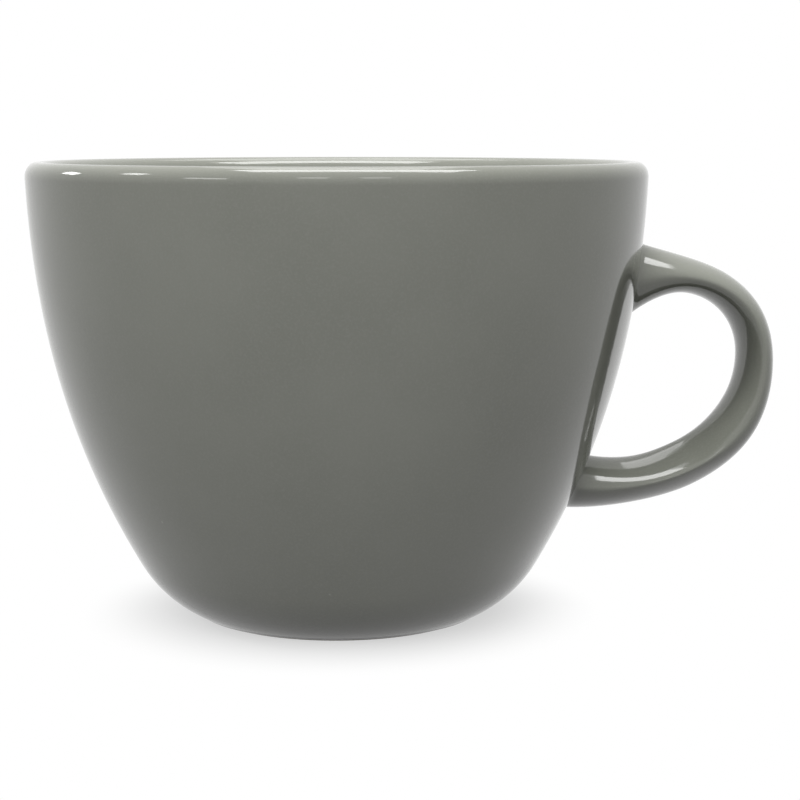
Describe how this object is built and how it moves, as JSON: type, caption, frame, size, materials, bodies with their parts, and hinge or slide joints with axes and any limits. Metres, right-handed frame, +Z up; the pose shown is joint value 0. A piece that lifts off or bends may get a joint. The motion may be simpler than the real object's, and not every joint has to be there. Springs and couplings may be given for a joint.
{
  "type": "cappuccino cup",
  "caption": "Rounded cup that tapers to a small foot, with a thick rounded rim and a loop handle on one side, glazed grey inside and out.",
  "frame": {"origin": "centre of the foot ring on the table", "axes": "+Z up through the mouth, +X towards the handle, +Y across the handle"},
  "size_m": [0.129, 0.105, 0.0776],
  "materials": {
    "stoneware": "fired clay, unglazed",
    "slip": "fired slip",
    "grey_glaze": "glossy opaque glaze"
  },
  "bodies": {
    "root": {"cup_body": "stoneware", "handle": "stoneware", "upper_slip_joint": "slip", "lower_slip_joint": "slip", "outer_glaze": "grey_glaze", "inner_glaze": "grey_glaze", "handle_glaze": "grey_glaze", "base_glaze": "grey_glaze"}
  },
  "joints": []
}
